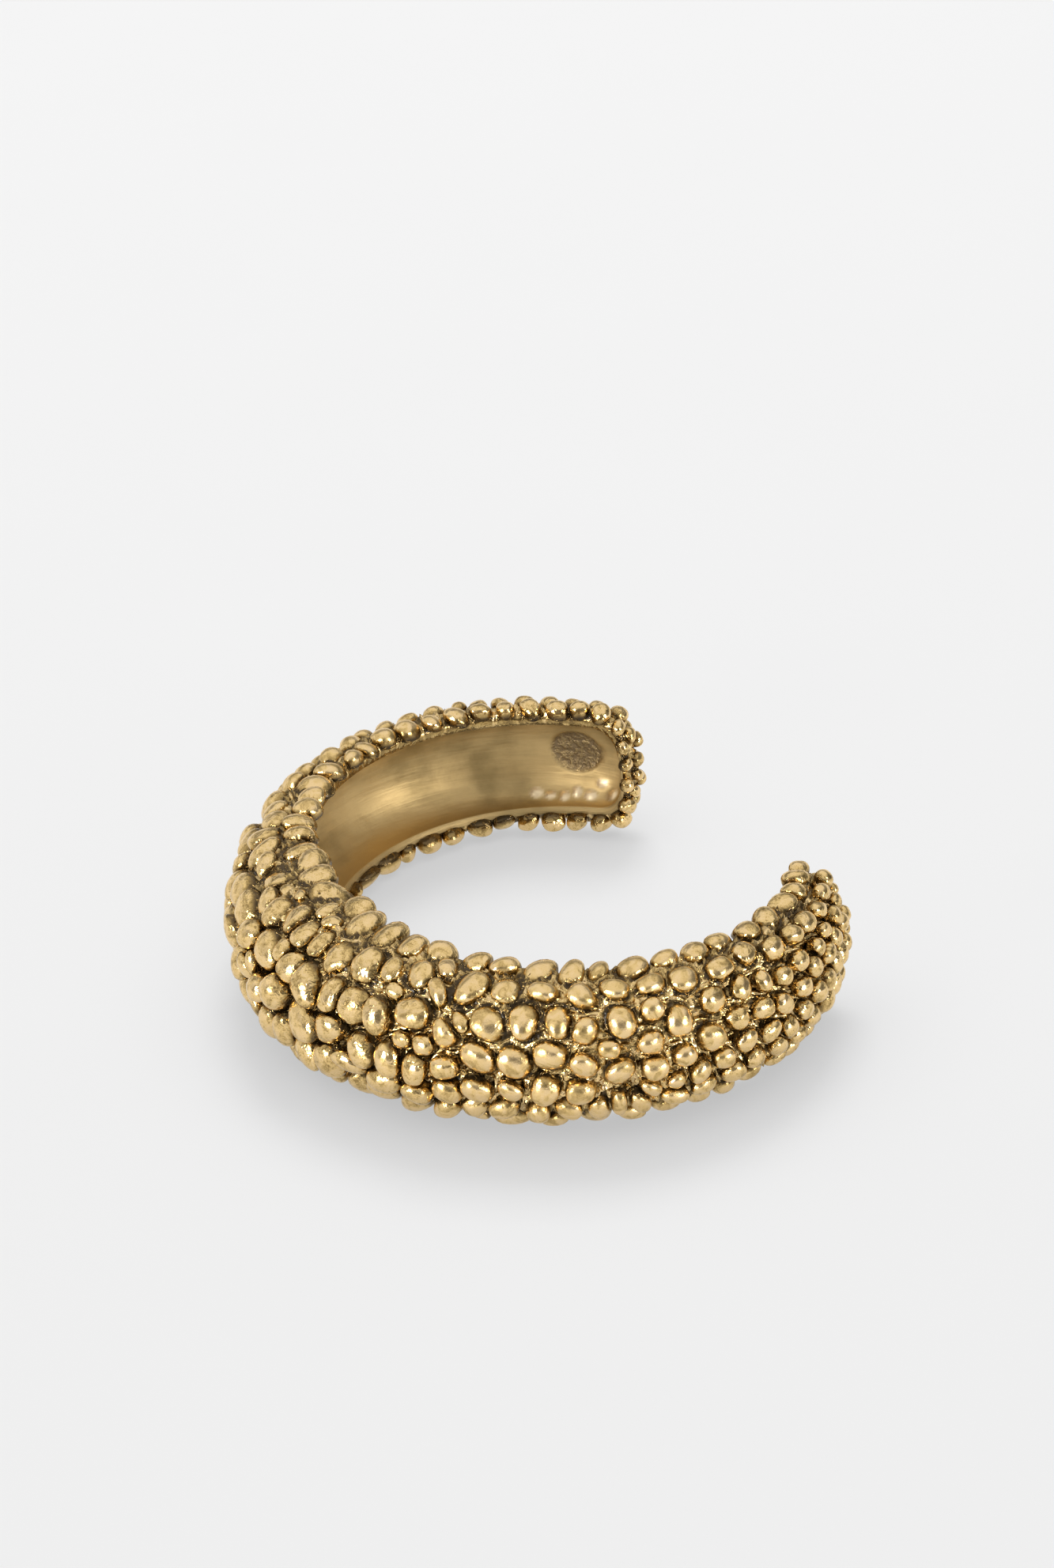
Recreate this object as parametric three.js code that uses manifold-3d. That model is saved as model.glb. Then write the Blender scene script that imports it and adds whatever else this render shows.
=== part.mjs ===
// An open cuff bracelet, cast in one piece: a domed band, bent to an oval, hollow on the side that
// faces the wrist, with a sunk oval field inside one arm. Its outside is the surface that the tips
// of its granules touch. Millimetres. The cuff lies on its side: Z is the wrist's direction, X the
// oval's long axis, and the arms' ends face each other across the gap on the +Y side.
import * as THREE from "three";
import { mergeVertices } from "three/addons/utils/BufferGeometryUtils.js";
import Module from "manifold-3d";

// The oval that the wrist goes into, and the gap between the arms
const WRIST_LENGTH = 58; // inside, along X
const WRIST_DEPTH = 46.2; // inside, along Y, of the whole oval
const GAP_WIDTH = 37; // between the arms' inner corners

// The band, over its granules: it is largest at the back and tapers to the arms' ends
const HEIGHT_BACK = 17;
const HEIGHT_END = 14.2;
const FULL_HEIGHT_SHARE = 0.12; // the share of the band's length that keeps the back's height
const BULGE_BACK = 9.4; // how far the dome stands out from the oval
const BULGE_END = 4.7;
const BULGE_TAPER = 1.4; // over 1, the bulge stays full for longer before it drops to the ends
const RIM_FLAT = 1.2; // level strip along each rim, which the cuff rests on
const DOME = 2.15; // power of the dome's superellipse: 2 is an ellipse, more is squarer
const END_ROUNDING = 3.6; // length over which an arm's end draws in
const END_FULLNESS = 3; // power of that drawing in

// The hollow inside
const WALL = 1.8; // at the rims and at the arms' ends
const DOME_WALL = 2.6; // at the top of the dome, granules included
const HOLLOW_ROUNDING = 4.5;

// The sunk oval field, near the end of the arm on the -X side
const FIELD_LENGTH = 5;
const FIELD_HEIGHT = 4.7;
const FIELD_DEPTH = 0.35;
const FIELD_FROM_END = 7;

// Facets
const STATIONS = 64; // sections along the band
const DOME_STEPS = 14; // facets from rim to rim
const END_STEPS = 6; // further sections in each rounded end
const FIELD_SIDES = 32;
const OVERCUT = 1;

const gapAngle = Math.acos(GAP_WIDTH / WRIST_LENGTH);
const oval = new THREE.EllipseCurve(
  0,
  0,
  WRIST_LENGTH / 2,
  WRIST_DEPTH / 2,
  Math.PI - gapAngle,
  2 * Math.PI + gapAngle,
);
const ovalLength = oval.getLength();

// Height and bulge of the band at a distance along the oval from the -X arm's end.
function bandSize(distance) {
  const fromBack = Math.abs((2 * distance) / ovalLength - 1);
  const narrowing = Math.max(0, fromBack - FULL_HEIGHT_SHARE) / (1 - FULL_HEIGHT_SHARE);
  return {
    height: THREE.MathUtils.lerp(HEIGHT_BACK, HEIGHT_END, narrowing),
    bulge: THREE.MathUtils.lerp(BULGE_BACK, BULGE_END, fromBack ** BULGE_TAPER),
  };
}

// The share of its full size that a rounded end still has, close to the place where it closes.
function endShare(fromEnd, rounding) {
  const into = THREE.MathUtils.clamp(1 - fromEnd / rounding, 0, 1);
  return (1 - into ** END_FULLNESS) ** (1 / END_FULLNESS);
}

// Distances along the oval for the sections, closer together in the two rounded ends.
function stationsBetween(start, end, rounding) {
  const distances = [];
  for (let i = 0; i < END_STEPS; i += 1) {
    distances.push(start + rounding * (0.015 + 0.985 * (i / END_STEPS) ** 2));
  }
  const straight = end - start - 2 * rounding;
  for (let i = 0; i <= STATIONS; i += 1) {
    distances.push(start + rounding + (straight * i) / STATIONS);
  }
  for (let i = END_STEPS - 1; i >= 0; i -= 1) {
    distances.push(end - rounding * (0.015 + 0.985 * (i / END_STEPS) ** 2));
  }
  return distances;
}

// The dome's curve from the lower rim to the upper one, as [outward, up] pairs, level for a
// length flat at both rims.
function domeCurve(height, bulge, flat) {
  const points = [];
  for (let i = 0; i <= DOME_STEPS; i += 1) {
    const angle = (i / DOME_STEPS - 0.5) * Math.PI;
    const outward = Math.abs(Math.cos(angle)) ** (2 / DOME);
    const up = Math.sign(angle) * Math.abs(Math.sin(angle)) ** (2 / DOME);
    points.push([flat + (bulge - flat) * outward, (height / 2) * up]);
  }
  return points;
}

// The oval's point and outward direction at a distance along it.
function ovalPlace(distance) {
  const share = distance / ovalLength;
  const point = oval.getPointAt(share);
  const along = oval.getTangentAt(share);
  return { point, outward: new THREE.Vector2(along.y, -along.x) };
}

// A closed mesh through sections that all have the same number of [outward, up] points.
function sweptSolid(sections) {
  const count = sections[0].points.length;
  const positions = [];
  for (const { distance, points } of sections) {
    const { point, outward } = ovalPlace(distance);
    for (const [out, up] of points) {
      positions.push(point.x + outward.x * out, point.y + outward.y * out, up);
    }
  }
  const faces = [];
  for (let i = 0; i + 1 < sections.length; i += 1) {
    for (let j = 0; j < count; j += 1) {
      const here = i * count + j;
      const next = i * count + ((j + 1) % count);
      faces.push(here, here + count, next + count, here, next + count, next);
    }
  }
  const last = (sections.length - 1) * count;
  for (let j = 1; j + 1 < count; j += 1) {
    faces.push(0, j, j + 1, last, last + j + 1, last + j);
  }
  const geometry = new THREE.BufferGeometry();
  geometry.setAttribute("position", new THREE.Float32BufferAttribute(positions, 3));
  geometry.setIndex(faces);
  return geometry;
}

// The band as a full D: the dome outside, closed by the oval's wall.
function bandSections() {
  return stationsBetween(0, ovalLength, END_ROUNDING).map((distance) => {
    const fromEnd = Math.min(distance, ovalLength - distance);
    const share = endShare(fromEnd, END_ROUNDING);
    const { height, bulge } = bandSize(distance);
    const dome = domeCurve(height * share, bulge * (0.5 + share / 2), RIM_FLAT * share);
    const [bottom, top] = [dome[0][1], dome[DOME_STEPS][1]];
    return { distance, points: [[0, bottom], ...dome, [0, top]] };
  });
}

// The hollow: a smaller D that also reaches past the oval's wall, towards the wrist.
function hollowSections() {
  return stationsBetween(WALL, ovalLength - WALL, HOLLOW_ROUNDING).map((distance) => {
    const fromEnd = Math.min(distance, ovalLength - distance) - WALL;
    const share = endShare(fromEnd, HOLLOW_ROUNDING);
    const { height, bulge } = bandSize(distance);
    const depth = (bulge - DOME_WALL) * (0.5 + share / 2);
    const inner = domeCurve((height - 2 * WALL) * share, depth, 0);
    const [bottom, top] = [inner[0][1], inner[DOME_STEPS][1]];
    return { distance, points: [[-OVERCUT, bottom], ...inner, [-OVERCUT, top]] };
  });
}

// The cutter for the sunk field, standing across the dome's wall inside the -X arm.
function fieldCutter() {
  const { point, outward } = ovalPlace(FIELD_FROM_END);
  const floor = bandSize(FIELD_FROM_END).bulge - DOME_WALL + FIELD_DEPTH;
  const reach = floor + OVERCUT;
  const geometry = new THREE.CylinderGeometry(0.5, 0.5, reach, FIELD_SIDES);
  geometry.scale(FIELD_HEIGHT, 1, FIELD_LENGTH);
  const across = new THREE.Vector3(outward.x, outward.y, 0);
  const up = new THREE.Vector3(0, 0, 1);
  const axes = new THREE.Matrix4().makeBasis(up, across, new THREE.Vector3().crossVectors(up, across));
  geometry.applyMatrix4(axes);
  const middle = floor - reach / 2;
  geometry.translate(point.x + outward.x * middle, point.y + outward.y * middle, 0);
  return geometry;
}

const wasm = await Module();
wasm.setup();

function solidFrom(geometry) {
  const bare = geometry.clone();
  bare.deleteAttribute("normal");
  bare.deleteAttribute("uv");
  const merged = mergeVertices(bare);
  return new wasm.Manifold(
    new wasm.Mesh({
      numProp: 3,
      vertProperties: merged.attributes.position.array,
      triVerts: new Uint32Array(merged.index.array),
    }),
  );
}

function geometryFrom(solid) {
  const made = solid.getMesh();
  const geometry = new THREE.BufferGeometry();
  geometry.setAttribute("position", new THREE.BufferAttribute(made.vertProperties, 3));
  geometry.setIndex(new THREE.BufferAttribute(made.triVerts, 1));
  return geometry;
}

// The cuff, moved so that the middle of its underside is the origin.
function cuffGeometry() {
  const band = solidFrom(sweptSolid(bandSections()));
  const hollow = solidFrom(sweptSolid(hollowSections()));
  const field = solidFrom(fieldCutter());
  const geometry = geometryFrom(band.subtract(hollow).subtract(field));
  geometry.computeBoundingBox();
  const { min, max } = geometry.boundingBox;
  geometry.translate(-(min.x + max.x) / 2, -(min.y + max.y) / 2, -min.z);
  return geometry;
}

const antiqueBrass = new THREE.MeshStandardMaterial({
  color: 0xb08a4a,
  roughness: 0.35,
  metalness: 1,
});

const bracelet = new THREE.Group();
const cuff = new THREE.Mesh(cuffGeometry(), antiqueBrass);
cuff.name = "cuff";
bracelet.add(cuff);

export default bracelet;
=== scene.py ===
# An open cuff bracelet, cast in one piece of brass: a hollow domed band paved with granules,
# antiqued dark in its recesses and rubbed bright on its high places. Metres, +Z through the wrist.
import math

import bpy
import numpy as np
from mathutils import Matrix, Vector, noise


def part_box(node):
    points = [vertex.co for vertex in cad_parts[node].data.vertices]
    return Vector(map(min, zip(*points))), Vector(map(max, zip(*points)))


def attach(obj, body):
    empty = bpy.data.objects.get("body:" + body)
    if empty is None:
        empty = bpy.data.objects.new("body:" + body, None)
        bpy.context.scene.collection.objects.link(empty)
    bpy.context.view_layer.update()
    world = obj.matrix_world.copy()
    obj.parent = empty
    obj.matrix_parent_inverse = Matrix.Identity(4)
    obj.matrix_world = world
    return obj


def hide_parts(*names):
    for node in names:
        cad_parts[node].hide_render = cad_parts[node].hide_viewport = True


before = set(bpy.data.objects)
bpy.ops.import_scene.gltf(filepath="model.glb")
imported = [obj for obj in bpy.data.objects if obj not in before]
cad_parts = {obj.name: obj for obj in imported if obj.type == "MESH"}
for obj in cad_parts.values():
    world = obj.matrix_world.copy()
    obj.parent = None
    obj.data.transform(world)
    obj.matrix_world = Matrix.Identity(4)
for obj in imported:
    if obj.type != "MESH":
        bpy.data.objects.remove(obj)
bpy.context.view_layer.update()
MM = 0.001


# ---- The wax band --------------------------------------------------------------------------------
# The form that the whole cuff is cast from: a strip of wax with a domed section, wider and higher
# at the back, bent round an oval wrist and rounded off at the arms' ends. Its outside is sunk
# below the tips of the granules that are set on it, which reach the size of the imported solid.
WRIST_LENGTH = 58 * MM
WRIST_DEPTH = 46.2 * MM
GAP_WIDTH = 37 * MM
OVAL_STEPS = 4000
HEIGHT_END = 14.2 * MM
FULL_HEIGHT_SHARE = 0.12
BULGE_BACK = 9.4 * MM
BULGE_END = 4.7 * MM
BULGE_TAPER = 1.4
BULGE_LEFT_AT_TIP = 0.5
RIM_FLAT = 1.2 * MM
DOME_POWER = 2.15
DOME_STEPS = 60
END_ROUNDING = 3.6 * MM
END_POWER = 3
END_ARC = 1.4
SUNK_DOME = 2.0 * MM
SUNK_RIM = 1.6 * MM
SUNK_END = 1.0 * MM

low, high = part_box("cuff")
height_back = high.z - low.z
centre_y = low.y + WRIST_DEPTH / 2 + BULGE_BACK
oval_centre = np.array([(low.x + high.x) / 2, centre_y, (low.z + high.z) / 2])
gap_angle = math.acos(GAP_WIDTH / WRIST_LENGTH)
oval_angles = np.linspace(math.pi - gap_angle, 2 * math.pi + gap_angle, OVAL_STEPS + 1)


def on_oval(angle):
    """Points on the oval that the band's inner side follows, seen from above."""
    return np.stack([WRIST_LENGTH / 2 * np.cos(angle), WRIST_DEPTH / 2 * np.sin(angle)], -1)


oval_steps = np.linalg.norm(np.diff(on_oval(oval_angles), axis=0), axis=1)
oval_distances = np.concatenate([[0], np.cumsum(oval_steps)])
oval_length = oval_distances[-1]


def away_from_back(distance):
    """0 at the middle of the back, 1 at either arm's end, for a distance along the oval."""
    return abs(2 * distance / oval_length - 1)


def to_nearer_end(distance):
    """The way left to the nearer arm's end."""
    return np.minimum(distance, oval_length - distance)


def on_band(distances, sections):
    """Points in space for the outward and up coordinates of a section at each distance."""
    outward, up = np.array(sections).transpose(1, 0, 2)
    angle = np.interp(distances, oval_distances, oval_angles)
    facing = np.stack([WRIST_DEPTH / 2 * np.cos(angle), WRIST_LENGTH / 2 * np.sin(angle)], -1)
    facing /= np.linalg.norm(facing, axis=-1, keepdims=True)
    plan = on_oval(angle)[:, None] + facing[:, None] * outward[..., None]
    return np.concatenate([plan, up[..., None]], -1) + oval_centre


def band_size(distance):
    """The band's height and bulge, over its granules, at a distance from the first arm's end."""
    from_back = away_from_back(distance)
    narrowing = max(0, from_back - FULL_HEIGHT_SHARE) / (1 - FULL_HEIGHT_SHARE)
    height = height_back + (HEIGHT_END - height_back) * narrowing
    return height, BULGE_BACK + (BULGE_END - BULGE_BACK) * min(1, from_back) ** BULGE_TAPER


def end_share(distance, inset, rounding):
    """The share of its full height that the band has near its ends, which draw in to nothing."""
    from_end = to_nearer_end(distance) - inset
    into_end = min(1, max(0, 1 - from_end / rounding))
    return (1 - into_end**END_POWER) ** (1 / END_POWER)


def bulge_share(share):
    """The share of its full bulge that the band has where its height has that share."""
    return BULGE_LEFT_AT_TIP + (1 - BULGE_LEFT_AT_TIP) * share


def stations(inset, rounding, step, least_share):
    """Distances along the oval for sections a step apart, close together where the ends round off."""
    first_turn = math.asin(least_share ** (END_POWER / 2))
    turns = np.linspace(first_turn, math.pi / 2, round(END_ARC * rounding / step))
    into_end = inset + rounding * (1 - np.cos(turns) ** (2 / END_POWER))
    count = round((oval_length - 2 * into_end[-1]) / step)
    middle = np.linspace(into_end[-1], oval_length - into_end[-1], count)
    return np.concatenate([into_end, middle[1:-1], oval_length - into_end[::-1]])


def dome_curve(height, bulge, flat):
    """The domed section from its lower edge to its upper one, as outward and up coordinates."""
    turn = np.linspace(-math.pi / 2, math.pi / 2, DOME_STEPS + 1)
    outward = flat + (bulge - flat) * np.abs(np.cos(turn)) ** (2 / DOME_POWER)
    up = height / 2 * np.sign(turn) * np.abs(np.sin(turn)) ** (2 / DOME_POWER)
    return outward, up


def evenly(outward, up, count):
    """The same curve with its points spread evenly along it."""
    walked = np.concatenate([[0], np.cumsum(np.hypot(np.diff(outward), np.diff(up)))])
    wanted = np.linspace(0, walked[-1], count)
    return np.interp(wanted, walked, outward), np.interp(wanted, walked, up)


def outside_net(distances, sunk, count, overhang=0):
    """A net of points over the band's outside, from the granules' tips, sunk 0, to the ground, sunk 1.
    An overhang carries both its edges on, past the wrist's side."""
    sections = []
    for distance in distances:
        share = end_share(distance, SUNK_END * sunk, END_ROUNDING)
        height, bulge = band_size(distance)
        height = (height - 2 * SUNK_RIM * sunk) * share
        bulge = (bulge - SUNK_DOME * sunk) * bulge_share(share)
        outward, up = dome_curve(height, bulge, RIM_FLAT * share)
        outward = np.concatenate([[-overhang], outward, [-overhang]])
        up = np.concatenate([up[:1], up, up[-1:]])
        sections.append(evenly(outward, up, count))
    return on_band(distances, sections)


# ---- The granules' places ------------------------------------------------------------------------
# The maker sets the granules by hand on the soft wax, in loose staggered rows round the band,
# larger at the back and smaller towards the ends. The smallest go into the gaps that are left.
RANDOM_SEED = 11
GRANULE_BACK = 3.5 * MM
GRANULE_END = 2.25 * MM
SIZE_TAPER = 1.6
SIZE_SPREAD_BACK = 0.28
SIZE_SPREAD_RIM = 0.24
ROWS = 8
UPPER_ROWS_WIDER = 0.25
ROW_START = (0.85, 1.15)
ROW_END_LEFT = 0.4
ROW_SWAY = 1.0
ROW_SWAY_LENGTH = 9 * MM
ROW_SWAY_APART = 0.4
RIM_ROW_SWAY = 0.2
LOOSE = 0.2
LOOSER_BACK = 0.22
RIM_ROW_LOOSE = 0.8
SET_DEPTH = 0.7
PROUD = 0.2
OVERHANG = 0.9 * MM
FILLER_LEAST = 0.45
FILLER_LEAST_END = 0.24
FILLER_OVERLAP = 0.92
FILLER_SWELL = 1.1
FILLER_REACH = 0.93
NET_ACROSS = 49
NET_STEP = 0.8 * MM
NET_TIP_SHARE = 0.05
SPOTS = 40000
SETTLING = 2


def facings(net):
    """The directions that a net of points faces."""
    facing = np.cross(np.gradient(net, axis=0), np.gradient(net, axis=1))
    return facing / np.maximum(np.linalg.norm(facing, axis=-1, keepdims=True), 1e-12)


def on_net(net, row, column):
    """Points between a net's knots."""
    i = np.clip(row.astype(int), 0, net.shape[0] - 2)
    j = np.clip(column.astype(int), 0, net.shape[1] - 2)
    u, v = (row - i)[:, None], (column - j)[:, None]
    near = net[i, j] * (1 - v) + net[i, j + 1] * v
    far = net[i + 1, j] * (1 - v) + net[i + 1, j + 1] * v
    return near * (1 - u) + far * u


def clearances(points, centres, radii):
    """How far each point lies outside each granule's circle."""
    squares = (points**2).sum(1)[:, None] + (centres**2).sum(1) - 2 * points @ centres.T
    return np.sqrt(np.maximum(squares, 0)) - radii


def pitch(distance):
    """The usual width of a granule at a distance along the oval."""
    return GRANULE_BACK + (GRANULE_END - GRANULE_BACK) * away_from_back(distance) ** SIZE_TAPER


def towards_rim(across):
    """0 along the middle of the band's outside, 1 at either rim, for a share of the way across."""
    return abs(2 * across - 1)


rng = np.random.default_rng(RANDOM_SEED)
net_distances = stations(0, END_ROUNDING, NET_STEP, NET_TIP_SHARE)
inset = SUNK_END * SET_DEPTH
seat_distances = inset + net_distances * (1 - 2 * inset / oval_length)
seat_net = outside_net(seat_distances, SET_DEPTH, NET_ACROSS, OVERHANG)
tip_net = outside_net(net_distances, -PROUD, NET_ACROSS, OVERHANG)
facing_net = facings(seat_net)

one, two, three, four = seat_net[:-1, :-1], seat_net[1:, :-1], seat_net[:-1, 1:], seat_net[1:, 1:]
areas = np.linalg.norm(np.cross(two - one, three - one), axis=-1)
areas = areas + np.linalg.norm(np.cross(two - four, three - four), axis=-1)
chosen = rng.choice(areas.size, SPOTS, p=areas.ravel() / areas.sum())
rows, columns = np.divmod(chosen, areas.shape[1])
rows = rows + rng.random(SPOTS)
columns = columns + rng.random(SPOTS)
spots = on_net(seat_net, rows, columns)
spot_facings = on_net(facing_net, rows, columns)
spot_facings /= np.linalg.norm(spot_facings, axis=1, keepdims=True)
spot_lifts = ((on_net(tip_net, rows, columns) - spots) * spot_facings).sum(1)
net_rows = np.arange(len(net_distances), dtype=float)
spot_distances = np.interp(rows, net_rows, net_distances)
spot_across = columns / (NET_ACROSS - 1)

starts = []
net_back = 1 - away_from_back(net_distances)
for row in range(ROWS):
    share = (row + 0.5) / ROWS
    rim_row = row in (0, ROWS - 1)
    column = (share - UPPER_ROWS_WIDER * net_back * share * (1 - share)) * (NET_ACROSS - 1)
    line = on_net(seat_net, net_rows, column)
    walked = np.concatenate([[0], np.cumsum(np.linalg.norm(np.diff(line, axis=0), axis=1))])
    at = pitch(0) * (0.5 + 0.5 * (row % 2)) * rng.uniform(*ROW_START)
    while at < walked[-1] - ROW_END_LEFT * pitch(0):
        wide = pitch(np.interp(at, walked, net_distances))
        loose = LOOSE + LOOSER_BACK * np.interp(at, walked, net_back) ** 2
        loose = loose * (RIM_ROW_LOOSE if rim_row else 1)
        sway = ROW_SWAY * noise.noise(Vector((at / ROW_SWAY_LENGTH, row * ROW_SWAY_APART, 0)))
        sway = sway * (RIM_ROW_SWAY if rim_row else 1)
        shift = (sway + rng.uniform(-loose, loose)) * (NET_ACROSS - 1) / ROWS
        start_row = np.interp([at], walked, net_rows)
        starts.append(on_net(seat_net, start_row, np.interp([at], walked, column) + shift)[0])
        at += wide * (1 + rng.uniform(-loose, loose))
places = clearances(np.array(starts), spots, 0).argmin(1)
spread = SIZE_SPREAD_BACK * (1 - away_from_back(spot_distances[places]))
spread = spread + SIZE_SPREAD_RIM * towards_rim(spot_across[places]) ** 6
radii = pitch(spot_distances[places]) / 2 * (1 + spread * rng.uniform(-1, 1, len(places)))
for _ in range(SETTLING):
    cell = clearances(spots, spots[places], radii).argmin(1)
    members = np.maximum(np.bincount(cell, minlength=len(places)), 1)
    middles = np.stack([np.bincount(cell, spots[:, k], len(places)) for k in range(3)], 1)
    places = clearances(middles / members[:, None], spots, 0).argmin(1)

room = clearances(spots, spots[places], radii * FILLER_OVERLAP).min(1)
room[towards_rim(spot_across) > FILLER_REACH] = 0
least = FILLER_LEAST + FILLER_LEAST_END * away_from_back(spot_distances)
least = least * pitch(spot_distances) / 2
room = room - least
while room.max() > 0:
    filler = room.argmax()
    places = np.append(places, filler)
    radii = np.append(radii, (room[filler] + least[filler]) * FILLER_SWELL)
    room = np.minimum(room, clearances(spots, spots[filler : filler + 1], radii[-1:])[:, 0] - least)

cell = clearances(spots, spots[places], radii).argmin(1)
granules = []
for index, place in enumerate(places):
    facing = spot_facings[place]
    members = spots[cell == index]
    offsets = members - members.mean(0)
    level = offsets - np.outer(offsets @ facing, facing)
    spreads, axes = np.linalg.eigh(level.T @ level / len(level))
    granules.append(
        {
            "centre": members.mean(0),
            "facing": facing,
            "long": axes[:, 2],
            "wide": np.cross(facing, axes[:, 2]),
            "half_length": 2 * np.sqrt(spreads[2]),
            "half_width": 2 * np.sqrt(spreads[1]),
            "lift": spot_lifts[place],
            "distance": spot_distances[place],
            "from_back": away_from_back(spot_distances[place]),
            "across": spot_across[place],
            "to_rim": towards_rim(spot_across[place]),
            "filler": index >= len(starts),
        }
    )
centres = np.array([g["centre"] for g in granules])


# ---- The antiqued brass --------------------------------------------------------------------------
# The finish of every cast face: brass dipped in a dark patina that stays in the recesses and the
# casting's pits, and rubbed off the high places, which keep a soft, finely pitted shine. The colour
# also holds painted shade at the granules' feet, painted light on their lowest row, and dark clouds
# on their tops that are partly tarnish and partly a painted reflection of a darker sky.
class Wire:
    """What comes out of a node, for sums written as Python expressions."""

    def __init__(self, nodes, socket):
        self.nodes = nodes
        self.socket = socket

    def maths(self, operation, first, second):
        return self.nodes.node("ShaderNodeMath", {"operation": operation}, {0: first, 1: second})

    def __add__(self, other):
        return self.maths("ADD", self, other)

    __radd__ = __add__

    def __sub__(self, other):
        return self.maths("SUBTRACT", self, other)

    def __rsub__(self, other):
        return self.maths("SUBTRACT", other, self)

    def __mul__(self, other):
        return self.maths("MULTIPLY", self, other)

    __rmul__ = __mul__

    def __abs__(self):
        return self.maths("ABSOLUTE", self, 0.0)


class Nodes:
    """A tree of nodes, and one way to add nodes to it."""

    def __init__(self, tree):
        self.tree = tree

    def node(self, kind, settings, sockets, output=0):
        """A new node, with its settings made and its sockets given values or wires."""
        node = self.tree.nodes.new(kind)
        for name, value in settings.items():
            if name == "stops":
                while len(node.color_ramp.elements) < len(value):
                    node.color_ramp.elements.new(1)
                for stop, (position, colour) in zip(node.color_ramp.elements, value):
                    stop.position = position
                    stop.color = (*colour, 1)
            else:
                setattr(node, name, value)
        for name, value in sockets.items():
            self.wire(node.inputs[name], value)
        return Wire(self, node.outputs[output])

    def wire(self, socket, value):
        if isinstance(value, Wire):
            self.tree.links.new(value.socket, socket)
        else:
            socket.default_value = value


class Finish(Nodes):
    """A material, with its shader and the patterns that its nodes draw."""

    def __init__(self, name, **uniform):
        self.material = bpy.data.materials.new(name)
        self.material.use_nodes = True
        super().__init__(self.material.node_tree)
        self.shader = self.tree.nodes["Principled BSDF"]
        self.feed(**uniform)
        self.place = self.node("ShaderNodeTexCoord", {}, {}, "Object")

    def feed(self, **sockets):
        for name, value in sockets.items():
            self.wire(self.shader.inputs[name.replace("_", " ")], value)

    def carried(self, name, output="Fac"):
        """A value that the piece's own mesh carries."""
        return self.node("ShaderNodeAttribute", {"attribute_name": name}, {}, output)

    def grain(self, size, detail=2, roughness=0.5, distortion=0, place=None):
        """Noise with grains of a size, from 0 to 1."""
        sockets = {"Vector": place or self.place, "Scale": 1 / size, "Detail": detail}
        sockets.update({"Roughness": roughness, "Distortion": distortion})
        return self.node("ShaderNodeTexNoise", {}, sockets, "Fac")

    def between(self, value, lowest, highest):
        """A smooth step from 0 at the lowest value to 1 at the highest."""
        sockets = {"Value": value, "From Min": lowest, "From Max": highest}
        return self.node("ShaderNodeMapRange", {"interpolation_type": "SMOOTHSTEP"}, sockets)

    def blend(self, share, first, second):
        """A colour between two others."""
        first, second = [(*c, 1) if isinstance(c, tuple) else c for c in (first, second)]
        return self.node("ShaderNodeMix", {"data_type": "RGBA"}, {0: share, 6: first, 7: second}, 2)

    def bump(self, height, distance, strength):
        sockets = {"Height": height, "Distance": distance, "Strength": strength}
        return self.node("ShaderNodeBump", {}, sockets)


DARK_PATINA = (0.066, 0.041, 0.017)
BROWN_PATINA = (0.17, 0.11, 0.045)
HALF_RUBBED = (0.45, 0.30, 0.105)
RUBBED_GOLD = (0.84, 0.59, 0.245)
BARE_GOLD = (0.92, 0.665, 0.34)
GOLD_STOPS = [(0.0, DARK_PATINA), (0.2, BROWN_PATINA), (0.5, HALF_RUBBED)]
GOLD_STOPS += [(0.75, RUBBED_GOLD), (1.0, BARE_GOLD)]
WAXED = {"Coat_Weight": 0.15, "Coat_Roughness": 0.2}
DULLED = {"Specular_IOR_Level": 0.12, "Specular_Tint": (1.0, 0.95, 0.85, 1)}
MOTTLE_SIZE = 0.9 * MM
PIT_SIZE = 0.17 * MM
SPECKLE_SIZE = 0.12 * MM
FLECK_SIZE = 0.5 * MM
CLOUD_SIZE = 1.2 * MM
RIDGE_SIZE = 1.0 * MM
CRUMPLE_SIZE = 0.75 * MM
SWELL_SIZE = 0.8 * MM
GROUND_WEAR = (0.2, 0.35)
CLEAN_AND_LIT_RANGE = (0.12, 0.78)
EDGE_STARTS = (0.2, 0.45)
EDGE_STOPS = (0.6, 0.9)
MOTTLED = 0.25
RIDGES_RUBBED = 0.6
PITS_STAINED = 0.1
FLECKS_STAINED = 0.18
CLOUDS_DARKENED = 0.40
SPECKLES_STAINED = 0.05
RELIEF = 0.035 * MM
RELIEF_STRENGTH = 0.9

antique_brass = Finish("antique_brass", **DULLED, **WAXED)
wear = antique_brass.carried("wear")
rubbed = antique_brass.carried("rubbed")
rough = 1 - rubbed
mottle = antique_brass.grain(MOTTLE_SIZE, 3)
pits = antique_brass.grain(PIT_SIZE, 2)
ground = 1 - antique_brass.between(wear, *GROUND_WEAR)
creases = abs(antique_brass.grain(RIDGE_SIZE, 1, 0.5, 0.8) - 0.5)
ridges = (1 - antique_brass.between(creases, 0.0, 0.06)) * ground
clouds = antique_brass.between(antique_brass.grain(CLOUD_SIZE, 2, 0.5, 1.0), 0.38, 0.70)
flecks = antique_brass.between(antique_brass.grain(FLECK_SIZE, 2, 0.6, 0.6), 0.36, 0.46)
speckle = antique_brass.between(antique_brass.grain(SPECKLE_SIZE, 1), 0.46, 0.6)
crumple = antique_brass.grain(CRUMPLE_SIZE, 1, 0.5, 1.0)
edges = antique_brass.between(wear, *EDGE_STARTS) * (1 - antique_brass.between(wear, *EDGE_STOPS))
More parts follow.
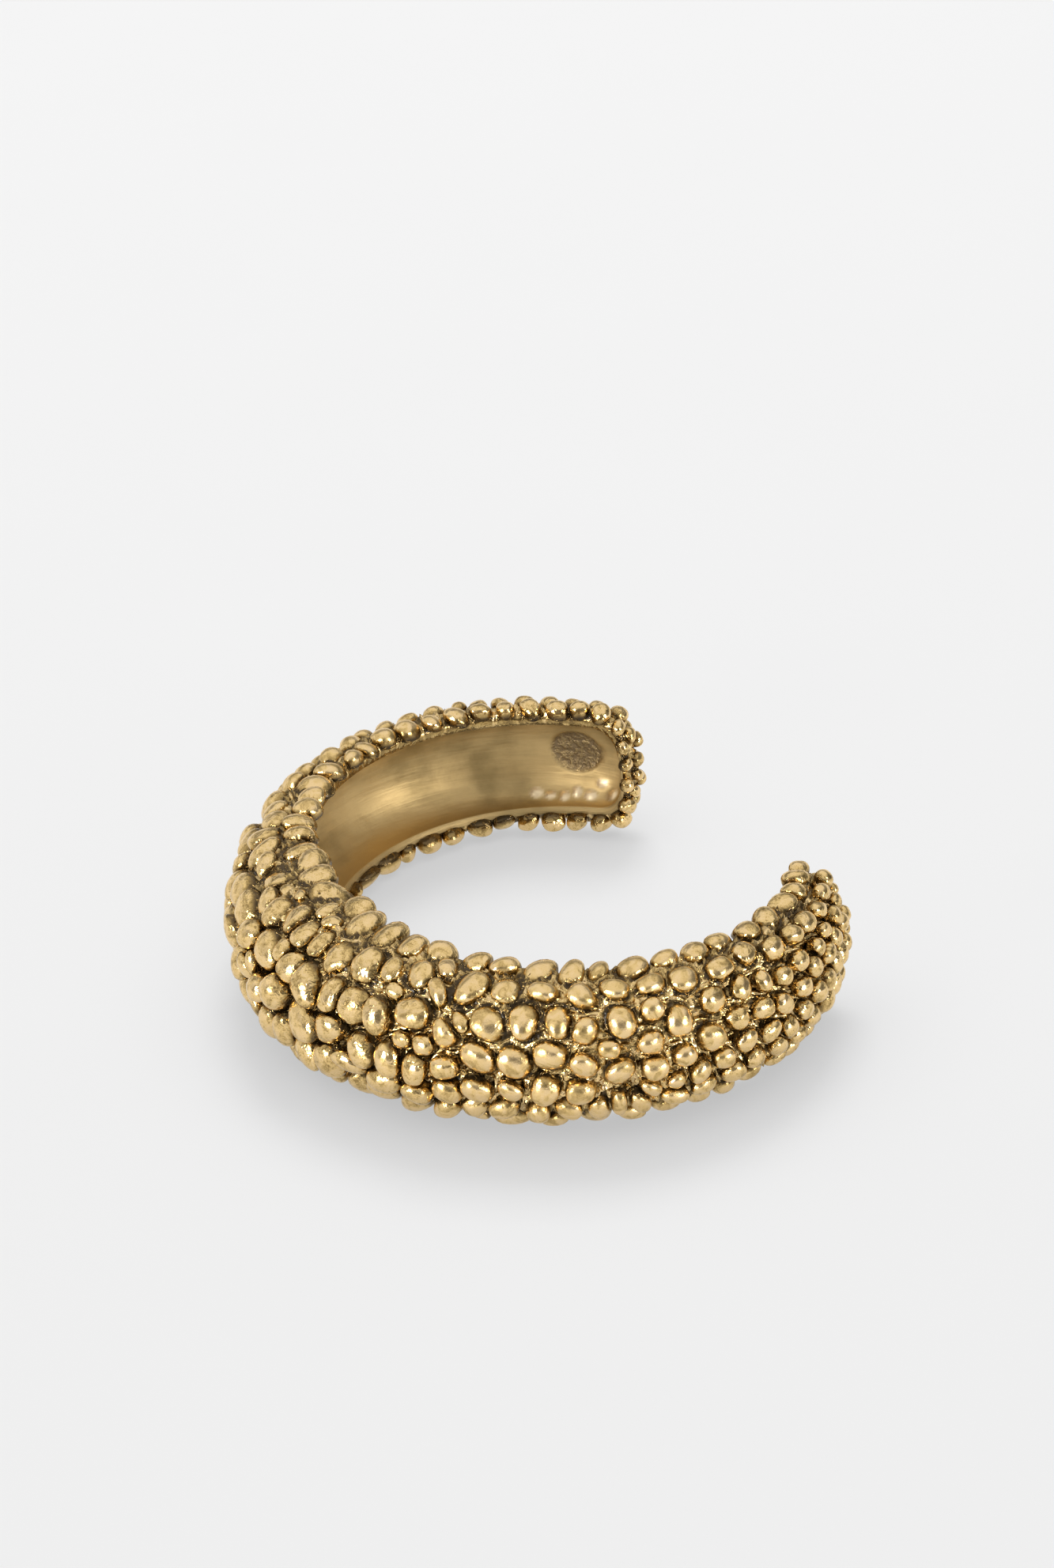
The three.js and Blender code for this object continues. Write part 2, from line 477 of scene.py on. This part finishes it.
# The carried value lightens the colour: rubbed metal against patina, with painted shade at the granules'
# feet and painted light on their lowest row.
clean_and_lit = antique_brass.between(wear, *CLEAN_AND_LIT_RANGE) + (mottle - 0.5) * MOTTLED + ridges * RIDGES_RUBBED
undimmed = 1 - PITS_STAINED * (1 - antique_brass.between(pits, 0.30, 0.42))
undimmed = undimmed - FLECKS_STAINED * rough * (1 - flecks)
# Dark clouds on the granules' tops: partly tarnish, partly a painted reflection of darker patches of
# sky.
undimmed = undimmed - (CLOUDS_DARKENED - 0.05 * rough) * clouds - (SPECKLES_STAINED + 0.10 * rough) * speckle
relief = 0.3 * pits + 1.9 * antique_brass.grain(SWELL_SIZE, 1) + 3.0 * ridges
relief = relief + (0.6 + 1.1 * rough) * crumple + 2.5 * edges * crumple
antique_brass.feed(
    Base_Color=antique_brass.node("ShaderNodeValToRGB", {"stops": GOLD_STOPS}, {"Fac": clean_and_lit * undimmed}),
    Metallic=antique_brass.between(clean_and_lit, 0.0, 0.3),
    Roughness=0.16 + 0.08 * rubbed + 0.10 * (1 - undimmed) + 0.05 * mottle,
    Normal=antique_brass.bump(relief, RELIEF, RELIEF_STRENGTH),
)


# ---- The granules --------------------------------------------------------------------------------
# Small balls and seeds of wax, cast with the band in the same brass. One is modelled, and each
# copy is pressed to the shape of its place, flattened a little where it meets its neighbours.
FULLNESS_ARMS = 0.86
FULLNESS_BACK = 1.09
FULLNESS_UNDER = 1.1
LONGER_UNDER = 0.35
SMOOTHING_LOSS = 1.055
SEED_TAPER = 0.3
SEED_LEAN = 0.3
LUMPS = 0.13
LUMPS_PER_RADIUS = 1.3
CRUMPLE = 0.04
TILT = 0.5
FACETS = 2
FACET_PRESS = 0.8
NEIGHBOURS = 8
NEIGHBOUR_OVERLAP = 0.02 * MM
SQUEEZE_REACH = 0.5 * MM
SEAT_DEPTH = 0.35 * MM
RESTING = 0.02 * MM
TALLEST = height_back + 0.4 * MM
END_REACH = 3 * MM
PROUD_RIM = 0.4 * MM
PROUD_END = 0.15 * MM
PROUD_BACK = 0.4 * MM
PROUD_LOW_BACK = 1.2 * MM
UNEVEN = 0.2 * MM
UNEVEN_BACK = 0.3 * MM
GROUPS = ("lower_granules", "middle_granules", "upper_granules")

bpy.ops.object.select_all(action="DESELECT")
bpy.ops.mesh.primitive_cube_add(size=2)
bpy.ops.object.mode_set(mode="EDIT")
bpy.ops.mesh.select_all(action="SELECT")
bpy.ops.mesh.subdivide(number_cuts=2)
bpy.ops.transform.tosphere(value=1)
bpy.ops.mesh.select_all(action="DESELECT")
bpy.ops.object.mode_set(mode="OBJECT")
model = bpy.context.object
model_points = np.array([v.co[:] for v in model.data.vertices])
model_points *= SMOOTHING_LOSS / np.linalg.norm(model_points, axis=1, keepdims=True)
model_faces = [list(p.vertices) for p in model.data.polygons]
bpy.data.objects.remove(model)

for granule in granules:
    from_back = granule["from_back"]
    at_rim = granule["to_rim"] ** 3
    low_down = max(0, 1 - 3 * granule["across"]) * (1 - from_back)
    size = math.sqrt(granule["half_length"] * granule["half_width"])
    fullness = FULLNESS_BACK + (FULLNESS_ARMS - FULLNESS_BACK) * min(1, 2 * from_back)
    fullness += (FULLNESS_UNDER - fullness) * low_down
    fullness *= rng.uniform(0.94 - 0.08 * at_rim, 1.05 + 0.05 * at_rim)
    drawn_out = 0.5 + 0.5 * (1 - from_back) * (1 - at_rim)
    aspect = (granule["half_length"] / granule["half_width"]) ** drawn_out
    aspect *= rng.uniform(0.98, 1.12 + 0.2 * at_rim) * (1 + LONGER_UNDER * low_down)
    granule["size"] = size
    granule["half_length"] = size * fullness * math.sqrt(aspect)
    granule["half_width"] = size * fullness / math.sqrt(aspect)
    granule["half_height"] = size * fullness * (rng.uniform(0.94, 1.06) + 0.1 * at_rim)
    tilting = TILT * (1.1 - from_back + 0.5 * at_rim)
    tilt = granule["facing"] + tilting * rng.uniform(-1, 1) * granule["long"]
    tilt = tilt + tilting * rng.uniform(-1, 1) * granule["wide"]
    granule["axis"] = tilt / np.linalg.norm(tilt)
    granule["taper"] = rng.uniform(-1, 1) * SEED_TAPER * (1 - 0.7 * from_back + 0.5 * at_rim)
    granule["rubbed"] = min(1, max(0, 1.6 - 6 * abs(from_back - 0.5) + rng.uniform(-0.3, 0.3)))
    granule["lean"] = rng.uniform(-SEED_LEAN, SEED_LEAN) * (1 - 0.7 * from_back)
    granule["drop"] = granule["lift"] * (1 - SET_DEPTH) / SET_DEPTH
    granule["seat"] = granule["centre"] - (granule["drop"] + SEAT_DEPTH) * granule["facing"]
    undersize = max(0, 0.5 * pitch(granule["distance"]) - size)
    at_back = max(0, 1 - 1.4 * from_back)
    low_back = at_back * max(0, min(1, 4 * granule["across"], 3 - 4 * granule["across"]))
    near_end = max(0, 1 - to_nearer_end(granule["distance"]) / END_REACH)
    proud = PROUD_RIM * at_rim * from_back**2 + PROUD_END * near_end
    proud += (PROUD_BACK + PROUD_LOW_BACK * low_back) * at_back
    proud -= rng.uniform(0, UNEVEN + UNEVEN_BACK * at_back)
    granule["top"] = granule["lift"] + proud - 0.8 * undersize
    lean_z = granule["facing"][2]
    spans = [granule["long"][2] * granule["half_length"], granule["wide"][2] * granule["half_width"]]
    reach = math.hypot(*spans, lean_z * granule["half_height"])
    middle = granule["centre"][2] + lean_z * (granule["top"] - granule["half_height"])
    too_low = min(0, middle - reach - RESTING)
    too_high = max(0, middle + reach - TALLEST)
    granule["centre"] = granule["centre"] - np.array([0, 0, too_low + too_high])

names = (*GROUPS, "gap_granules")
groups = {name: {"points": [], "faces": [], "wear": [], "rubbed": []} for name in names}
for granule in granules:
    x, y, z = model_points.T
    shifts = rng.uniform(-50, 50, 3)
    lump = np.array([noise.noise(Vector(p * LUMPS_PER_RADIUS + shifts)) for p in model_points])
    dents = CRUMPLE * (1.2 - granule["rubbed"]) * rng.uniform(-1, 1, len(model_points))
    grown = 1 + LUMPS * (1.5 - 0.5 * granule["rubbed"]) * lump + dents
    heart = granule["centre"] + granule["facing"] * (granule["top"] - granule["half_height"])
    sunk = granule["top"] - granule["half_height"] + granule["drop"] + SEAT_DEPTH
    half = np.where(z > 0, granule["half_height"], np.minimum(sunk, granule["half_height"]))
    along = (x + granule["lean"] * np.maximum(z, 0) * (1 - x * x)) * granule["half_length"]
    points = heart + np.outer(along * grown, granule["long"])
    points += np.outer(y * grown * (1 + granule["taper"] * x) * granule["half_width"], granule["wide"])
    points += np.outer(z * np.minimum(grown, 1) * half, granule["axis"])
    for _ in range(FACETS):
        flat_way = granule["axis"] * rng.uniform(0.1, 1) + granule["long"] * rng.uniform(-1, 1)
        flat_way = flat_way + granule["wide"] * rng.uniform(-1, 1)
        flat_way /= np.linalg.norm(flat_way)
        beyond = (points - heart) @ flat_way
        beyond = beyond - np.max(beyond) * rng.uniform(0.82 + 0.08 * granule["rubbed"], 1)
        points -= np.outer(FACET_PRESS * np.maximum(beyond, 0), flat_way)
    apart = np.linalg.norm(centres - granule["centre"], axis=1)
    squeeze = np.full(len(points), 2 * SQUEEZE_REACH)
    for other in np.argsort(apart)[1 : NEIGHBOURS + 1]:
        towards = (centres[other] - granule["centre"]) / apart[other]
        mine, theirs = granule["size"], granules[other]["size"]
        wall = apart[other] * mine / (mine + theirs) + NEIGHBOUR_OVERLAP
        reach = (points - granule["centre"]) @ towards - wall
        points -= np.outer(np.maximum(reach, 0), towards)
        squeeze = np.minimum(squeeze, np.maximum(-reach, 0))
    too_deep = (granule["seat"] - points) @ granule["facing"]
    points += np.outer(np.maximum(too_deep, 0), granule["facing"])

    up = (points - granule["centre"]) @ granule["facing"] + granule["drop"]
    high_up = np.clip(up / (granule["top"] + granule["drop"]), 0, 1)
    in_reach = np.clip(0.4 + squeeze / SQUEEZE_REACH, 0, 1)
    # Painted light: the lowest row of granules lies in shade, and its colour is made lighter.
    lowest_row_painted_light = max(0, 1 - 2 * granule["across"]) ** 5
    wear_and_painted_light = 0.04 - 0.12 * granule["from_back"] + 0.22 * granule["to_rim"] ** 4 + 0.3 * lowest_row_painted_light
    across_group = GROUPS[int(min(2, 3 * granule["across"]))]
    group = groups["gap_granules" if granule["filler"] else across_group]
    group["faces"] += [[v + len(group["points"]) * len(points) for v in face] for face in model_faces]
    group["points"].append(points)
    group["wear"].append(np.clip(high_up * in_reach + wear_and_painted_light, 0, 1))
    group["rubbed"].append(np.full(len(points), granule["rubbed"]))

for name, group in groups.items():
    mesh = bpy.data.meshes.new(name)
    mesh.from_pydata(np.concatenate(group["points"]).tolist(), [], group["faces"])
    for attribute in ("wear", "rubbed"):
        values = np.concatenate(group[attribute])
        mesh.attributes.new(attribute, "FLOAT", "POINT").data.foreach_set("value", values)
    mesh.shade_smooth()
    mesh.materials.append(antique_brass.material)
    piece = bpy.data.objects.new(name, mesh)
    bpy.context.scene.collection.objects.link(piece)
    smooth = piece.modifiers.new("smooth", "SUBSURF")
    smooth.levels = smooth.render_levels = 1
    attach(piece, "root")


# ---- The cast band -------------------------------------------------------------------------------
# The body of the casting: the rough ground between the granules, crossed by thin webs of metal
# that ran between them in the mould, and the hollow inside, filed and polished along the band.
# Inside one arm it has a bare oval field, sunk and stippled, and a few drops of spilt metal,
# with a painted highlight on their tips.
WALL = 2.3 * MM
WALL_END = 1.3 * MM
DOME_WALL = 2.6 * MM
HOLLOW_ROUNDING = 4.5 * MM
HOLLOW_STEP_IN = 0.06 * MM
HOLLOW_TIP_SHARE = 0.354
HOLLOW_OF_RIM = 0.86
BAND_TIP_SHARE = 0.3
STATION_STEP = 0.25 * MM
OUTSIDE_STEPS = 132
HOLLOW_STEPS = 50
BATCH = 1500
WANDER = 0.22 * MM
WANDER_SIZE = 0.9 * MM
WANDER_SHIFTS = ((20.5, 0, 0), (0, 41.3, 0), (0, 0, 63.7))
FILLET = 0.65 * MM
FILLET_REACH = 0.26 * MM
FOOT_REACH = 0.35 * MM
WEB_HEIGHT = 0.8 * MM
WEB_WIDTH = 0.28 * MM
WEB_BREAKS = 1.3 * MM
VEIN_HEIGHT = 0.45 * MM
VEIN_SIZE = 1.1 * MM
VEIN_WIDTH = 0.16
VEIN_SHIFT = (7, 3, 1)
FINE_HEIGHT = 0.15 * MM
FINE_SIZE = 0.7 * MM
EDGE_STEPS = 3
FIELD_FROM_END = 7 * MM
FIELD_RISE = 0.4 * MM
FIELD_LENGTH = 5 * MM
FIELD_HEIGHT = 4.7 * MM
FIELD_DEPTH = 0.35 * MM
FIELD_EDGE = 0.12
STIPPLE_DEPTH = 0.1 * MM
STIPPLE_SIZE = 0.5 * MM
WAVE_HEIGHT = 0.05 * MM
WAVE_SIZE = 2.2 * MM
DROPS = 7
DROP_HEIGHT = 0.22 * MM
FIRST_DROP = 1.7 * MM
DROP_PITCH = 1.35 * MM
DROP_SHARE = 0.14
STRAY_DROP = 1
STRAY_SHARE = 0.1
HOLLOW_EDGE = 0.06
POLISHED_WEAR = 0.6
BRUSHING_STRETCH = 0.12
DOUBLES = 0.0005 * MM

hollow_starts = [WALL_END, WALL_END + HOLLOW_STEP_IN]
distances = stations(SUNK_END, END_ROUNDING, STATION_STEP, BAND_TIP_SHARE)
distances = distances[np.abs(to_nearer_end(distances) - WALL_END) > 2 * HOLLOW_STEP_IN]
distances = np.sort(np.concatenate([distances, hollow_starts, [oval_length - d for d in hollow_starts]]))
outside = outside_net(distances, 1, OUTSIDE_STEPS + 1)


def hollow_net():
    """The hollow's net of points, flat on the wrist's side where the hollow hasn't begun."""
    sections = []
    for distance in distances:
        begun = to_nearer_end(distance) > WALL_END + HOLLOW_STEP_IN / 6
        share = max(end_share(distance, WALL_END, HOLLOW_ROUNDING), HOLLOW_TIP_SHARE)
        height, bulge = band_size(distance)
        depth = (bulge - DOME_WALL) * bulge_share(share) if begun else 0
        rim = (height - 2 * SUNK_RIM) * end_share(distance, SUNK_END, END_ROUNDING)
        outward, up = dome_curve(min((height - 2 * WALL) * share, HOLLOW_OF_RIM * rim), depth, 0)
        sections.append(evenly(outward[::-1], up[::-1], HOLLOW_STEPS + 1))
    return on_band(distances, sections)


def nearest_two(points):
    """How far each point lies outside the two granules nearest to it."""
    frames = [np.array([g[k] for g in granules]) for k in ("long", "wide", "facing")]
    halves = [np.array([g[k] for g in granules]) for k in ("half_length", "half_width", "half_height")]
    hearts = centres + frames[2] * np.array([g["top"] - g["half_height"] for g in granules])[:, None]
    nearest = np.empty((len(points), 2))
    for start in range(0, len(points), BATCH):
        offsets = points[start : start + BATCH, None] - hearts
        squares = sum(((offsets * axis).sum(-1) / half) ** 2 for axis, half in zip(frames, halves))
        out = (np.sqrt(squares) - 1) * np.sqrt(halves[0] * halves[1])
        nearest[start : start + BATCH] = np.sort(np.partition(out, 1, axis=1)[:, :2], axis=1)
    return nearest.T


def unevenness(net, size, shift=(0, 0, 0)):
    """Noise over a net of points, with lumps of a size, about from -1 to 1."""
    lumps = [noise.noise(Vector(p / size) + Vector(shift)) for p in net.reshape(-1, 3)]
    return np.array(lumps).reshape(net.shape[:2])


wander = np.stack([unevenness(outside, WANDER_SIZE, shift) for shift in WANDER_SHIFTS], -1)
wandering = (outside + wander * WANDER).reshape(-1, 3)
nearest, second = (d.reshape(outside.shape[:2]) for d in nearest_two(wandering))
fillet = FILLET * np.exp(-np.maximum(nearest, 0) / FILLET_REACH)
unbroken = np.clip(0.75 + 1.6 * unevenness(outside, WEB_BREAKS), 0, 1.1)
web = WEB_HEIGHT * np.exp(-(((second - nearest) / WEB_WIDTH) ** 2)) * unbroken
veins = np.clip(1 - np.abs(unevenness(outside, VEIN_SIZE, VEIN_SHIFT)) / VEIN_WIDTH, 0, 1)
fine = FINE_HEIGHT * unevenness(outside, FINE_SIZE) + VEIN_HEIGHT * veins
steps = np.arange(OUTSIDE_STEPS + 1)
edge_fade = np.clip(np.minimum(steps, steps[::-1]) / EDGE_STEPS, 0, 1)
raised = (np.maximum(fillet, web) + fine) * edge_fade
outside = outside + facings(outside) * raised[..., None]
# Darker close to the granules' feet: patina kept in the crevices, and a painted contact shadow.
foot = np.clip(nearest / FOOT_REACH, 0, 1)
ground_wear_and_shade = 0.15 + 0.34 * foot + 0.7 * np.clip(web / WEB_HEIGHT, 0, 1) ** 1.3
ground_wear_and_shade = np.maximum(ground_wear_and_shade, 0.6 * veins**1.5)
ground_wear_and_shade = ground_wear_and_shade * (1.25 - 0.42 * away_from_back(distances))[:, None]
ground_wear_and_shade = np.clip(np.maximum(ground_wear_and_shade, 0.4 * (1 - edge_fade)), 0, 1)

hollow = hollow_net()
along = np.broadcast_to(distances[:, None], hollow.shape[:2])
rise = hollow[..., 2] - oval_centre[2]
from_field = (along - FIELD_FROM_END) / (FIELD_LENGTH / 2), (rise - FIELD_RISE) / (FIELD_HEIGHT / 2)
field = np.clip((1 + FIELD_EDGE / 2 - np.hypot(*from_field)) / FIELD_EDGE, 0, 1)
step_share = np.linspace(1, 0, HOLLOW_STEPS + 1)
drops = np.zeros(rise.shape)
for number in range(DROPS):
    drop_along = WALL_END + FIRST_DROP + DROP_PITCH * number + rng.uniform(-0.2, 0.2) * MM
    drop_share = DROP_SHARE + rng.uniform(-0.025, 0.025) + (STRAY_SHARE if number == STRAY_DROP else 0)
    wide = rng.uniform(0.5, 0.8) * MM
    tall = rng.uniform(0.04, 0.07)
    out = np.hypot((along - drop_along) / wide, (step_share - drop_share) / tall)
    drops = np.maximum(drops, np.clip(1 - out**2, 0, 1))
inside_share = np.clip(np.minimum(step_share, 1 - step_share) / HOLLOW_EDGE, 0, 1)
inside_share = inside_share * np.clip((to_nearer_end(along) - WALL_END) / MM - 0.5, 0, 1)
raised = WAVE_HEIGHT * unevenness(hollow, WAVE_SIZE) + DROP_HEIGHT * drops
raised = raised - field * (FIELD_DEPTH + STIPPLE_DEPTH * unevenness(hollow, STIPPLE_SIZE))
hollow = hollow + facings(hollow) * (raised * inside_share)[..., None]

bare = np.zeros(ground_wear_and_shade.shape)
carried = {
    "wear": (ground_wear_and_shade, np.full(rise.shape, POLISHED_WEAR)),
    "field": (bare, field * inside_share),
    "tips": (bare, np.clip(2 * drops, 0, 1) * inside_share),
}
brushed = np.stack([along * BRUSHING_STRETCH, rise, 0 * rise], -1)
net_brushing = np.concatenate([np.zeros(outside.shape), brushed], 1)
around = OUTSIDE_STEPS + 1 + HOLLOW_STEPS + 1
bpy.ops.object.select_all(action="DESELECT")
bpy.ops.mesh.primitive_grid_add(x_subdivisions=around, y_subdivisions=len(distances) - 1, size=2)
body = bpy.context.object
body.name = body.data.name = "cast_band"
grid = np.array([v.co[:2] for v in body.data.vertices])
station_of = np.rint((grid[:, 1] + 1) / 2 * (len(distances) - 1)).astype(int)
step_of = np.rint((grid[:, 0] + 1) / 2 * around).astype(int)
knots = (station_of, step_of % around)
body.data.vertices.foreach_set("co", np.concatenate([outside, hollow], 1)[knots].ravel())
for name, halves in carried.items():
    attribute = body.data.attributes.new(name, "FLOAT", "POINT")
    attribute.data.foreach_set("value", np.concatenate(halves, 1)[knots])
attribute = body.data.attributes.new("brushing", "FLOAT_VECTOR", "POINT")
attribute.data.foreach_set("vector", net_brushing[knots].ravel())
polished = [min(step_of[v] for v in p.vertices) > OUTSIDE_STEPS for p in body.data.polygons]
body.data.materials.append(antique_brass.material)

PALE_BRASS = (0.60, 0.435, 0.20)
BROWN_BRASS = (0.34, 0.245, 0.105)
DROP_HIGHLIGHT_BRASS = (0.90, 0.72, 0.46)
DARK_FIELD = (0.21, 0.15, 0.085)
LINE_SIZE = 0.9 * MM
STREAK_SIZE = 2.4 * MM
HAZE_SIZE = 7 * MM
FIELD_GRAIN = 0.45 * MM
TARNISHED_AND_SHADED = (0.36, 0.72)
STIPPLED = (0.40, 0.66)
BRUSHED_DEPTH = 0.10 * MM
BRUSHED_STRENGTH = 0.8

polished_brass = Finish("polished_brass", Metallic=1.0)
brushing = polished_brass.carried("brushing", "Vector")
in_field = polished_brass.carried("field")
drop_highlight = polished_brass.carried("tips")
lines = polished_brass.grain(LINE_SIZE, 3, 0.6, 0, brushing)
streaks = polished_brass.grain(STREAK_SIZE, 3, 0.6)
haze = polished_brass.grain(HAZE_SIZE, 2)
upward = polished_brass.node("ShaderNodeSeparateXYZ", {}, {"Vector": brushing}, "Y") * (1 / MM)
# Darker towards the top of the hollow: painted shade, on top of the tarnish from haze, streaks and
# lines.
tarnish_and_shade = haze + 0.25 * (streaks - 0.5) + 0.25 * (lines - 0.5) + 0.03 * upward
tarnish_and_shade_share = polished_brass.between(tarnish_and_shade, *TARNISHED_AND_SHADED)
brass = polished_brass.blend(tarnish_and_shade_share, PALE_BRASS, BROWN_BRASS)
# Painted highlight: the drops' tips are coloured a brighter brass.
brass = polished_brass.blend(drop_highlight, brass, DROP_HIGHLIGHT_BRASS)
stippled = polished_brass.between(polished_brass.grain(FIELD_GRAIN, 2), *STIPPLED)
brushed_relief = lines + 0.6 * streaks + 0.8 * in_field * stippled
polished_brass.feed(
    Base_Color=polished_brass.blend(in_field * (0.9 - 0.4 * stippled), brass, DARK_FIELD),
    Roughness=0.46 + 0.14 * streaks - 0.10 * drop_highlight,
    Normal=polished_brass.bump(brushed_relief, BRUSHED_DEPTH, BRUSHED_STRENGTH),
)
body.data.materials.append(polished_brass.material)
body.data.polygons.foreach_set("material_index", np.array(polished, dtype=np.int32))
bpy.ops.object.mode_set(mode="EDIT")
bpy.ops.mesh.select_all(action="SELECT")
bpy.ops.mesh.remove_doubles(threshold=DOUBLES)
bpy.ops.mesh.select_all(action="DESELECT")
bpy.ops.mesh.select_mode(type="EDGE")
bpy.ops.mesh.select_non_manifold()
bpy.ops.mesh.edge_face_add()
bpy.ops.mesh.select_all(action="SELECT")
bpy.ops.mesh.normals_make_consistent(inside=False)
bpy.ops.object.mode_set(mode="OBJECT")
body.data.shade_smooth()
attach(body, "root")
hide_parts("cuff")


# ---- The floor, the light and the camera ---------------------------------------------------------
# The cuff lies on a plain pale floor. Two soft boxes and a wide fill show only in the metal, and a
# soft light high behind the cuff lights the floor without a glint in the metal. A studio sky,
# bright overhead and behind the cuff, darker low down at the sides, does the rest.
CAMERA_AZIMUTH = math.radians(67.01)
CAMERA_ELEVATION = math.radians(27.32)
CAMERA_DISTANCE = 400.4 * MM
CAMERA_SHIFTS = (-1.86 * MM, 11.07 * MM)
CAMERA_ROLL = math.radians(6.22)
CAMERA_LENS = 91.8
CAMERA_NEAREST = 10 * MM
FLOOR_SIZE = 60
FLOOR_GLOW = 0.50
PALE_GREYS = ((0.37, 0.37, 0.37), (0.38, 0.38, 0.38))
CEILING = [(0.0, 0.9), (0.04, 0.12), (0.45, 0.18), (0.55, 0.32), (0.68, 0.84), (1.0, 0.92)]
BACKDROP_TOP = [(0.0, 1), (0.25, 0.9), (0.42, 0)]
BACKDROP_SIDES = [(0.3, 0), (0.8, 0.65)]

bpy.ops.object.select_all(action="DESELECT")
bpy.ops.mesh.primitive_plane_add(size=FLOOR_SIZE)
floor = bpy.context.object
floor.name = "floor"
paper = Finish("pale_floor", Roughness=0.9, Emission_Color=(1, 1, 1, 1), Emission_Strength=FLOOR_GLOW)
paper.feed(Base_Color=paper.blend(paper.grain(40 * MM, 2), *PALE_GREYS))
floor.data.materials.append(paper.material)

camera_data = bpy.data.cameras.new("camera")
camera_data.lens = CAMERA_LENS
camera_data.clip_start = CAMERA_NEAREST
camera = bpy.data.objects.new("camera", camera_data)
bpy.context.scene.collection.objects.link(camera)
right = Vector((math.cos(CAMERA_AZIMUTH), math.sin(CAMERA_AZIMUTH), 0))
level = Vector((-math.sin(CAMERA_AZIMUTH), math.cos(CAMERA_AZIMUTH), 0))
forward = level * math.cos(CAMERA_ELEVATION) - Vector((0, 0, math.sin(CAMERA_ELEVATION)))
above = right.cross(forward)
place = Vector(oval_centre) - forward * CAMERA_DISTANCE
place = place + right * CAMERA_SHIFTS[0] + above * CAMERA_SHIFTS[1]
turned_right = right * math.cos(CAMERA_ROLL) - above * math.sin(CAMERA_ROLL)
turned_up = right * math.sin(CAMERA_ROLL) + above * math.cos(CAMERA_ROLL)
pose = Matrix((turned_right, turned_up, -forward)).transposed().to_4x4()
camera.matrix_world = Matrix.Translation(place) @ pose
bpy.context.scene.camera = camera


def soft_box(name, azimuth, elevation, distance, size, watts, for_metal):
    """An area light that faces the cuff, turned round it from the camera's side."""
    turn = CAMERA_AZIMUTH + math.radians(azimuth)
    rise = math.radians(elevation)
    away = Vector((math.sin(turn), -math.cos(turn), 0)) * math.cos(rise) + Vector((0, 0, math.sin(rise)))
    data = bpy.data.lights.new(name, "AREA")
    data.shape = "RECTANGLE"
    data.size, data.size_y = size
    data.energy = watts
    lamp = bpy.data.objects.new(name, data)
    bpy.context.scene.collection.objects.link(lamp)
    lamp.location = Vector(oval_centre) + away * distance
    lamp.rotation_euler = away.to_track_quat("Z", "Y").to_euler()
    lamp.visible_diffuse = not for_metal
    lamp.visible_glossy = for_metal


soft_box("left_soft_box", -48, 15, distance=1.8, size=(0.55, 0.5), watts=25, for_metal=True)
soft_box("left_fill", -105, 22, distance=1.8, size=(1.6, 1.3), watts=3.5, for_metal=True)
soft_box("right_soft_box", 44, 12, distance=1.8, size=(0.55, 0.5), watts=15, for_metal=True)
soft_box("back_light", 170, 58, distance=1.6, size=(0.7, 0.7), watts=10, for_metal=False)
world = bpy.data.worlds.new("studio")
bpy.context.scene.world = world
world.use_nodes = True
sky = Nodes(world.node_tree)
sky_light = sky.tree.nodes["Background"].inputs
direction = sky.node("ShaderNodeTexCoord", {}, {}, "Generated")


def toward(axis, stops):
    """A brightness that follows how far a direction points along an axis."""
    dot_product = {"operation": "DOT_PRODUCT"}
    along_axis = sky.node("ShaderNodeVectorMath", dot_product, {0: direction, 1: axis[:]}, "Value")
    greys = [(position, (bright, bright, bright)) for position, bright in stops]
    return sky.node("ShaderNodeValToRGB", {"stops": greys}, {"Fac": along_axis}, "Color")


overhead = Vector((0, 0, 1))
backdrop = toward(overhead, BACKDROP_TOP) * toward(level, BACKDROP_SIDES)
sky.wire(sky_light["Color"], (1, 1, 1, 1))
sky.wire(sky_light["Strength"], toward(overhead, CEILING) + backdrop)
bpy.context.scene.view_settings.view_transform = "Standard"
bpy.context.scene.cycles.caustics_reflective = False
